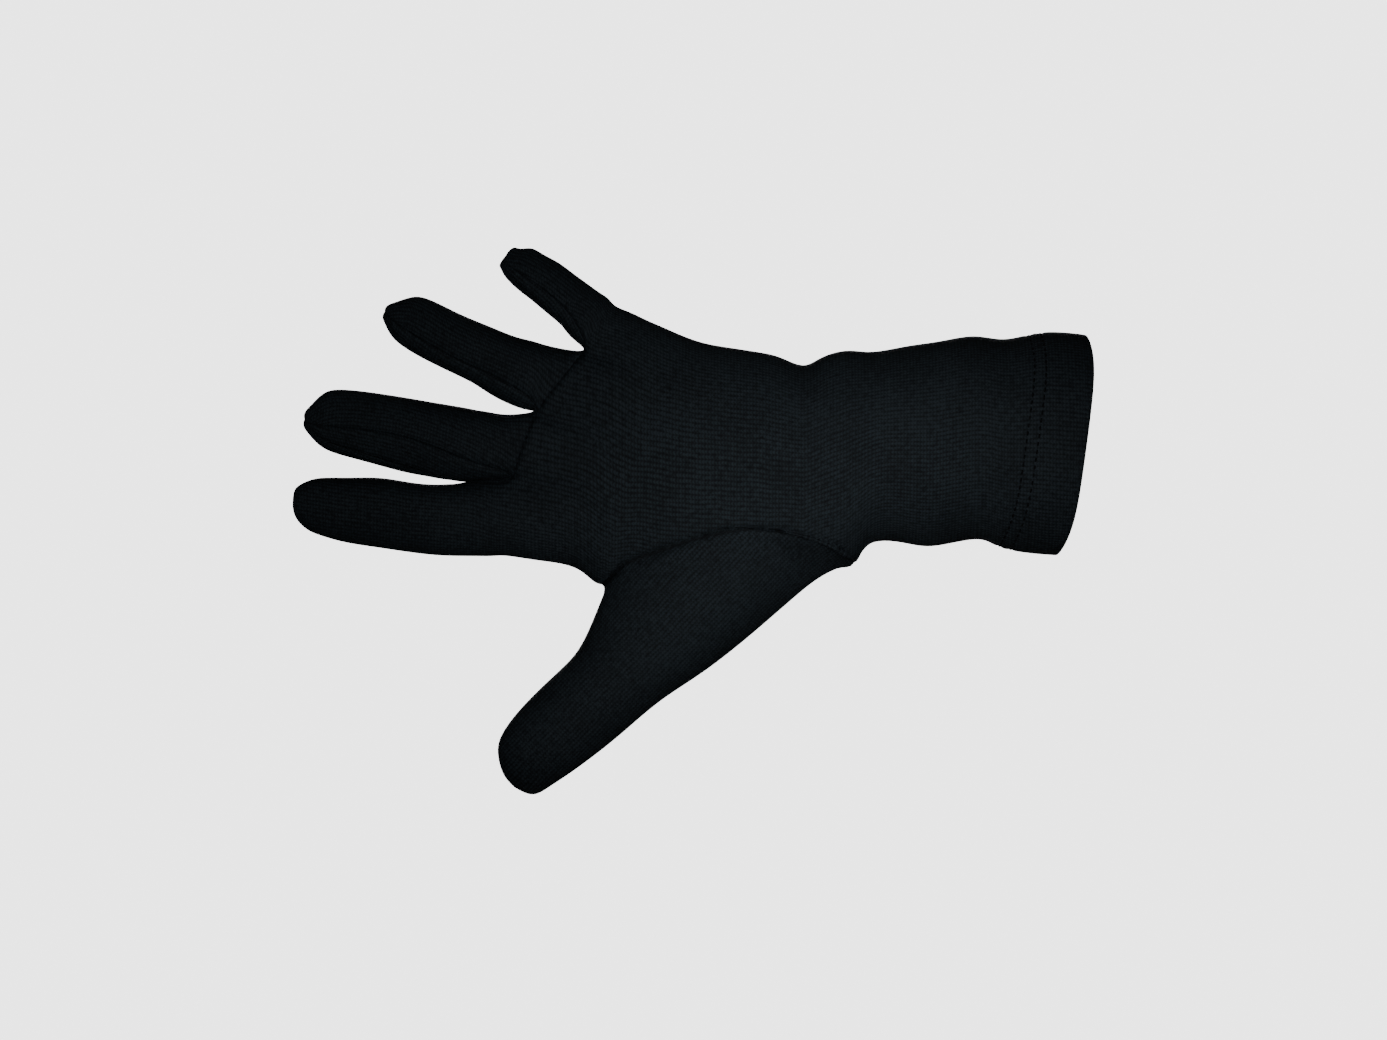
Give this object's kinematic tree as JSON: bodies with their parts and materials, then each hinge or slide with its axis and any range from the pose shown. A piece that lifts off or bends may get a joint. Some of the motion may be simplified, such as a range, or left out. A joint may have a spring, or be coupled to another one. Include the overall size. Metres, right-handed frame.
{
  "type": "glove liner",
  "caption": "Close-fitting fine-knit glove liner for a left hand, shown in its worn form, with a set-in thumb, strips between the fingers, a long cuff and a stitched hem.",
  "frame": {"origin": "middle of the wrist, where the glove is narrowest", "axes": "+X along the forearm towards the mouth of the cuff, so the fingers point along -X; +Z towards the little finger; the palm faces -Y"},
  "size_m": [0.2632, 0.0498, 0.1798],
  "materials": {
    "knit": "fine black jersey knit, matt",
    "hem_knit": "fine black jersey knit, turned in at the hem",
    "thread": "black sewing thread"
  },
  "bodies": {
    "root": {"palm": "knit", "back": "knit", "middle_finger_front": "knit", "ring_finger_front": "knit", "fourchette_index_middle": "knit", "fourchette_middle_ring": "knit", "fourchette_ring_little": "knit", "thumb": "knit", "cuff_hem": "hem_knit"}
  },
  "joints": []
}
